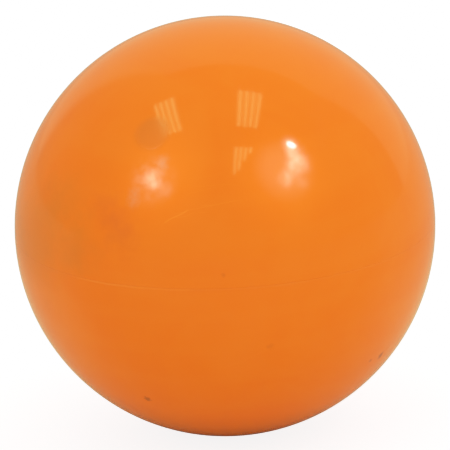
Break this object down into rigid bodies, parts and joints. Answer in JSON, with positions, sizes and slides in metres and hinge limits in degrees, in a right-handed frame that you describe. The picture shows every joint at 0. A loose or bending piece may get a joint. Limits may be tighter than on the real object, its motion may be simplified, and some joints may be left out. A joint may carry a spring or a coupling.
{
  "type": "hollow plastic sports ball",
  "caption": "Smooth glossy hollow sports ball without holes, moulded in halves that are welded at the equator, with a flush round vent plug.",
  "frame": {"origin": "centre of the ball", "axes": "+Z normal to the weld seam, towards the half that holds the vent plug; the plug's axis lies in the YZ plane on the -Y side, 42.3 degrees above the seam; +X completes the frame"},
  "size_m": [0.074, 0.074, 0.074],
  "materials": {
    "shell": "glossy moulded orange, fine orange-peel",
    "weld": "trimmed weld line, slightly duller orange",
    "plug": "glossy orange, slightly greyer than the shell"
  },
  "bodies": {
    "root": {"upper_half_shell": "shell", "lower_half_shell": "shell", "seam_weld": "weld", "vent_plug": "plug"}
  },
  "joints": []
}
